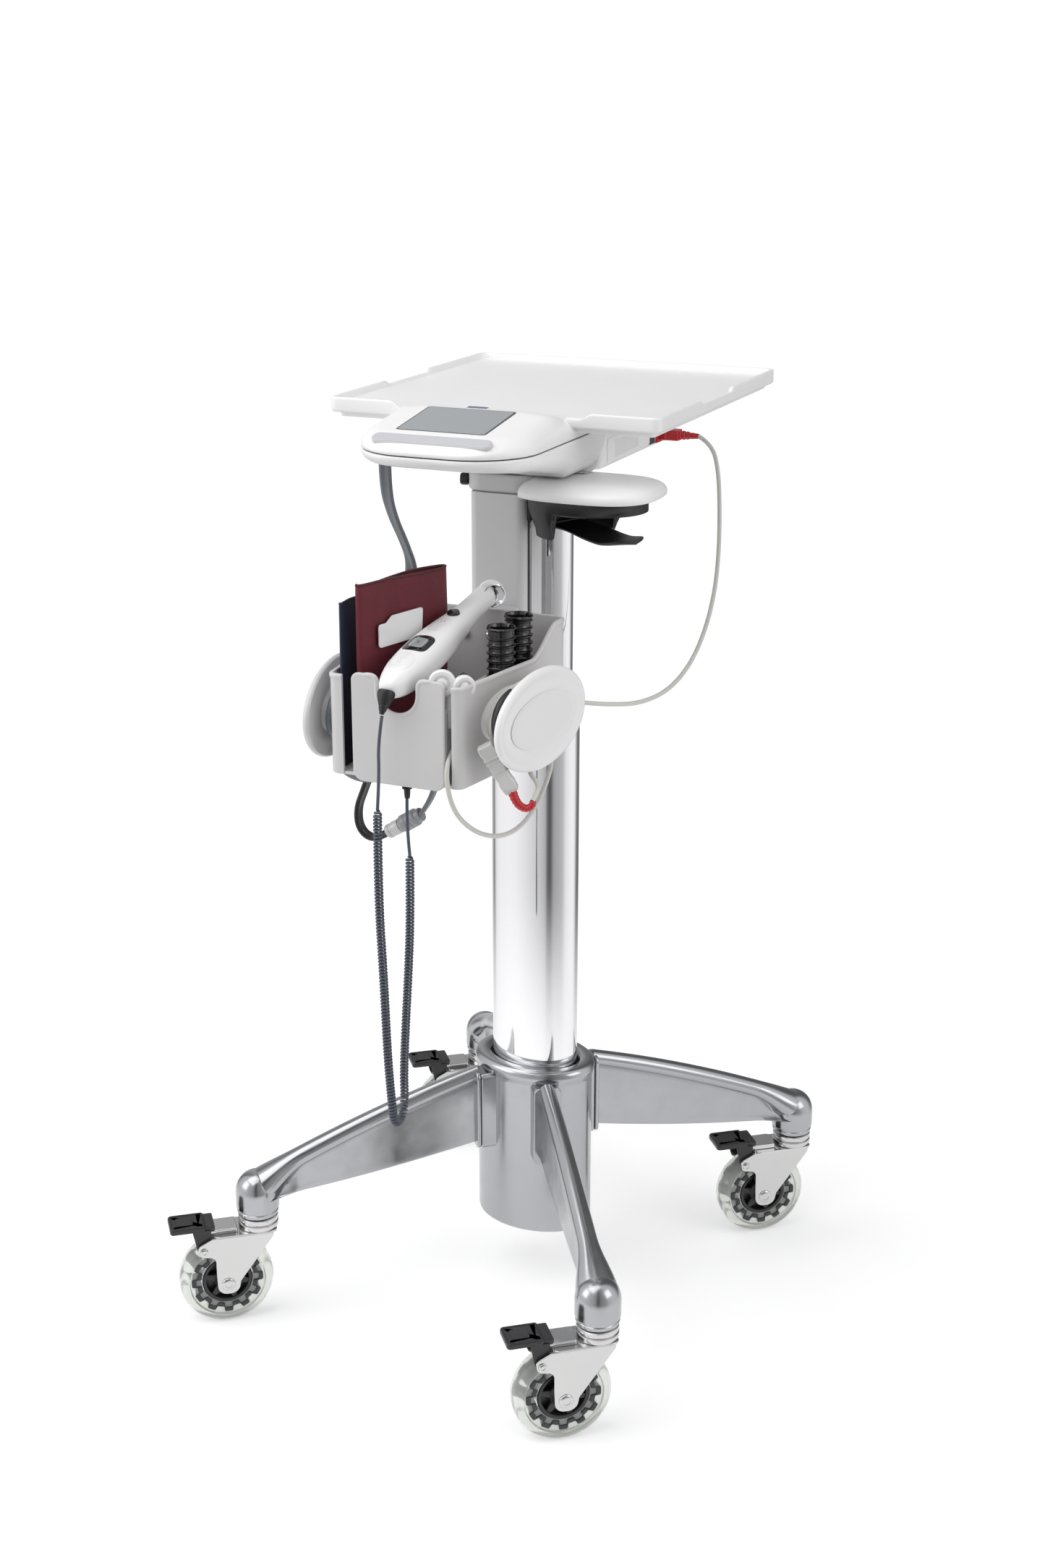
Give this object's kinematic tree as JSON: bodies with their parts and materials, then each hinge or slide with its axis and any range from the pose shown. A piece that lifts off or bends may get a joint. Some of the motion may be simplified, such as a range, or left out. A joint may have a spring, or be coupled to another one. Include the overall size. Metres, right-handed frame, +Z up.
{
  "type": "vital signs monitor stand",
  "caption": "Vital-signs monitor with laptop tray on a height-adjustable column, with accessory basket, cord wraps and a legged base on braked casters",
  "frame": {"origin": "middle of the footprint, on the floor; the column stands a little behind and to the right of it", "axes": "+Z up, -Y towards the screen's front, +X to the right as seen from the front"},
  "size_m": [0.5752, 0.6203, 0.9807],
  "materials": {
    "cast_aluminium": "polished casting",
    "column_polish": "mirror-polished tube",
    "zinc_steel": "bright zinc",
    "clear_tyre": "translucent polyurethane",
    "wheel_black": "moulded",
    "pedal_black": "fine grain",
    "white_shell": "satin gloss",
    "grey_shell": "satin",
    "screen_glass": "anti-glare window",
    "strip_lens": "diffusing lens",
    "board_green": "coated board",
    "battery_wrap": "shrink wrap",
    "bush_nylon": "nylon",
    "spring_steel": "black-painted cylinder and bright rod",
    "cuff_burgundy": "coated nylon",
    "cuff_navy": "coated nylon",
    "gloss_black": "gloss",
    "grip_black": "soft satin",
    "hose_grey": "smooth",
    "hose_black": "smooth",
    "lead_slate": "smooth",
    "lead_white": "smooth",
    "plug_red": "moulded",
    "coupler_grey": "moulded"
  },
  "bodies": {
    "base": {"hub_casting": "cast_aluminium", "outer_column": "column_polish", "column_bush": "bush_nylon", "gas_spring_cylinder": "spring_steel", "leg_front_right": "cast_aluminium", "leg_front_left": "cast_aluminium", "leg_rear_right": "cast_aluminium", "leg_rear_left": "cast_aluminium"},
    "caster_front_right": {"fork_front_right": "zinc_steel"},
    "wheel_front_right": {"tyre_front_right": "clear_tyre", "wheel_core_front_right": "wheel_black"},
    "pedal_front_right": {"brake_pedal_front_right": "pedal_black"},
    "caster_front_left": {"fork_front_left": "zinc_steel"},
    "wheel_front_left": {"tyre_front_left": "clear_tyre", "wheel_core_front_left": "wheel_black"},
    "pedal_front_left": {"brake_pedal_front_left": "pedal_black"},
    "caster_rear_right": {"fork_rear_right": "zinc_steel"},
    "wheel_rear_right": {"tyre_rear_right": "clear_tyre", "wheel_core_rear_right": "wheel_black"},
    "pedal_rear_right": {"brake_pedal_rear_right": "pedal_black"},
    "caster_rear_left": {"fork_rear_left": "zinc_steel"},
    "wheel_rear_left": {"tyre_rear_left": "clear_tyre", "wheel_core_rear_left": "wheel_black"},
    "pedal_rear_left": {"brake_pedal_rear_left": "pedal_black"},
    "lift": {"inner_column": "column_polish", "column_cap": "cast_aluminium", "gas_spring_rod": "spring_steel"},
    "button": {"thermometer_button": "gloss_black"},
    "lever": {"release_lever": "grip_black"},
    "head": {"head_bracket": "grey_shell", "spine": "grey_shell", "tray_deck": "white_shell", "screen": "screen_glass", "light_strip": "strip_lens", "monitor_lower_shell": "white_shell", "circuit_board": "board_green", "module_box": "white_shell", "battery_pack": "battery_wrap", "basket_bin": "grey_shell", "wrap_disc_right": "white_shell", "wrap_disc_left": "grey_shell", "thermometer_body": "white_shell", "cuff_burgundy": "cuff_burgundy", "cuff_navy": "cuff_navy", "probe_cover_stacks": "gloss_black", "grip_housing": "white_shell", "grip_cup": "grip_black", "cuff_hose": "hose_grey", "coupling_hose": "hose_grey", "cuff_tubes": "hose_black", "thermometer_lead": "lead_slate", "thermometer_coil": "lead_slate", "sensor_cable": "lead_white", "sensor_loop": "lead_white", "hose_winding": "hose_grey", "sensor_winding": "lead_white", "hose_coupling": "coupler_grey", "lead_gland": "hose_black", "data_plug": "plug_red", "sensor_clip": "plug_red"}
  },
  "joints": [
    {"name": "swivel_front_right", "type": "hinge", "parent": "base", "child": "caster_front_right", "pos_m": [0.20557, -0.22554, 0.13], "axis": [0, 0, 1], "continuous": true},
    {"name": "roll_front_right", "type": "hinge", "parent": "caster_front_right", "child": "wheel_front_right", "pos_m": [0.17641, -0.24832, 0.05], "axis": [0.6157, -0.788, 0], "continuous": true},
    {"name": "brake_front_right", "type": "hinge", "parent": "caster_front_right", "child": "pedal_front_right", "pos_m": [0.1575, -0.2631, 0.092], "axis": [0.6157, -0.788, 0], "range_deg": [0, 8]},
    {"name": "swivel_front_left", "type": "hinge", "parent": "base", "child": "caster_front_left", "pos_m": [-0.20409, -0.17307, 0.13], "axis": [0, 0, 1], "continuous": true},
    {"name": "roll_front_left", "type": "hinge", "parent": "caster_front_left", "child": "wheel_front_left", "pos_m": [-0.23324, -0.19584, 0.05], "axis": [0.6157, -0.788, 0], "continuous": true},
    {"name": "brake_front_left", "type": "hinge", "parent": "caster_front_left", "child": "pedal_front_left", "pos_m": [-0.25216, -0.21062, 0.092], "axis": [0.6157, -0.788, 0], "range_deg": [0, 8]},
    {"name": "swivel_rear_right", "type": "hinge", "parent": "base", "child": "caster_rear_right", "pos_m": [0.26427, 0.23271, 0.13], "axis": [0, 0, 1], "continuous": true},
    {"name": "roll_rear_right", "type": "hinge", "parent": "caster_rear_right", "child": "wheel_rear_right", "pos_m": [0.23511, 0.20993, 0.05], "axis": [0.6157, -0.788, 0], "continuous": true},
    {"name": "brake_rear_right", "type": "hinge", "parent": "caster_rear_right", "child": "pedal_rear_right", "pos_m": [0.2162, 0.19516, 0.092], "axis": [0.6157, -0.788, 0], "range_deg": [0, 8]},
    {"name": "swivel_rear_left", "type": "hinge", "parent": "base", "child": "caster_rear_left", "pos_m": [-0.14538, 0.28519, 0.13], "axis": [0, 0, 1], "continuous": true},
    {"name": "roll_rear_left", "type": "hinge", "parent": "caster_rear_left", "child": "wheel_rear_left", "pos_m": [-0.17454, 0.26241, 0.05], "axis": [0.6157, -0.788, 0], "continuous": true},
    {"name": "brake_rear_left", "type": "hinge", "parent": "caster_rear_left", "child": "pedal_rear_left", "pos_m": [-0.19345, 0.24763, 0.092], "axis": [0.6157, -0.788, 0], "range_deg": [0, 8]},
    {"name": "lift_slide", "type": "slide", "parent": "base", "child": "lift", "axis": [0, 0, 1], "range_m": [-0.1, 0.16]},
    {"name": "head_turn", "type": "hinge", "parent": "lift", "child": "head", "pos_m": [0.03009, 0.02982, 0.9], "axis": [0, 0, 1], "range_deg": [-35, 35]},
    {"name": "button_press", "type": "slide", "parent": "head", "child": "button", "axis": [0.0242, 0.2636, -0.9643], "range_m": [0, 0.0015], "stiffness_N_per_m": 900, "springref_m": -0.001},
    {"name": "lever_squeeze", "type": "hinge", "parent": "head", "child": "lever", "pos_m": [0.09551, -0.04379, 0.869], "axis": [-0.4067, -0.9135, 0], "range_deg": [0, 8], "stiffness_Nm_per_rad": 2, "springref_deg": -6.88}
  ]
}
